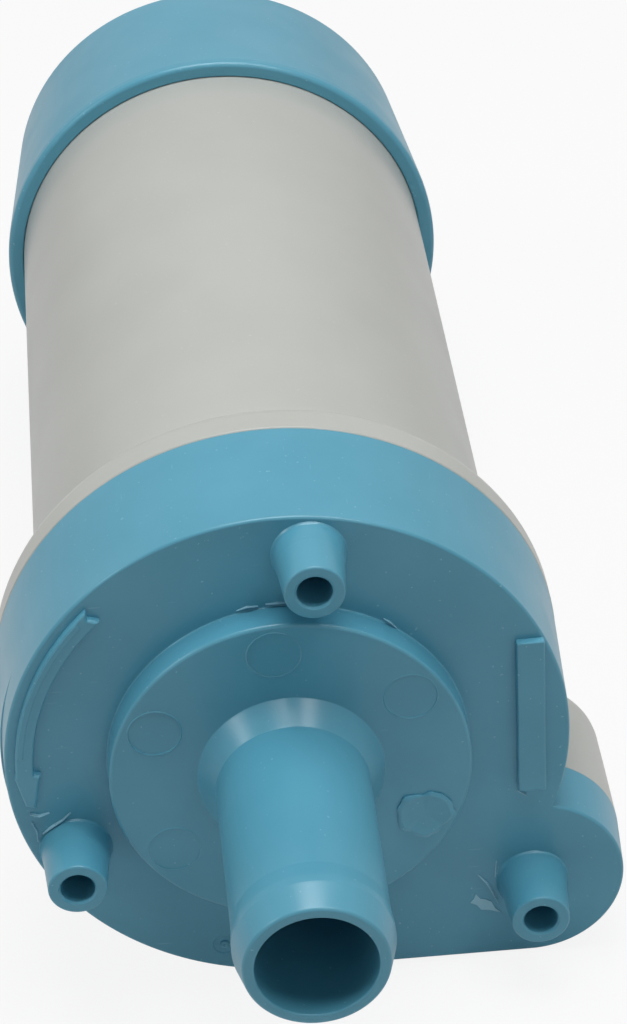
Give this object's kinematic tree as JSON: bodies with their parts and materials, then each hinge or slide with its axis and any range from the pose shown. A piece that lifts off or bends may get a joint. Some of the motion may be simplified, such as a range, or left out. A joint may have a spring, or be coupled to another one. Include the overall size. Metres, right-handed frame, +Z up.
{
  "type": "caravan water pump",
  "caption": "In-line water pump: round tube between a lobed front cover with suction nozzle and posts, and an end cap with outlet nozzle.",
  "frame": {"origin": "on the pump's axis, in the plane of the raised disc at the foot of the suction nozzle", "axes": "+Y along the pump's axis from the suction nozzle to the outlet nozzle, +Z up, the lobe to +X and below"},
  "size_m": [0.0785, 0.2226, 0.072],
  "materials": {
    "blue_plastic": "moulded, satin",
    "grey_plastic": "moulded, smooth",
    "black_plastic": "moulded",
    "white_plastic": "moulded",
    "rubber": "moulded",
    "steel": "drawn and plated",
    "shaft_steel": "ground",
    "bronze": "sintered",
    "magnet": "ferrite",
    "core_steel": "stacked sheets",
    "copper": "enamelled wire",
    "brass": "stamped",
    "carbon": "pressed"
  },
  "bodies": {
    "casing": {"inlet_cover": "blue_plastic", "pump_housing": "grey_plastic", "outlet_cap": "blue_plastic", "volute_plate": "black_plastic", "shaft_seal": "rubber", "seal_spring": "steel", "cover_seal": "rubber", "cap_seal": "rubber", "pod_seal": "rubber", "lid_seal": "rubber", "tube_seal": "rubber", "motor_pod": "black_plastic", "pod_lid": "black_plastic", "pod_screws": "shaft_steel", "motor_can": "steel", "field_magnets": "magnet", "magnet_clips": "steel", "front_bush": "bronze", "rear_bush": "bronze", "end_bell": "black_plastic", "brushes": "carbon", "brush_arms": "brass", "terminals": "brass", "suppressor": "white_plastic", "cable_gland": "rubber", "gland_nut": "black_plastic"},
    "rotor": {"impeller": "white_plastic", "impeller_clip": "steel", "motor_shaft": "shaft_steel", "armature_core": "core_steel", "armature_windings": "copper", "commutator": "copper", "thrust_washers": "white_plastic"}
  },
  "joints": [
    {"name": "rotor_spin", "type": "hinge", "parent": "casing", "child": "rotor", "pos_m": [0, 0.04, 0], "axis": [0, -1, 0], "continuous": true}
  ]
}
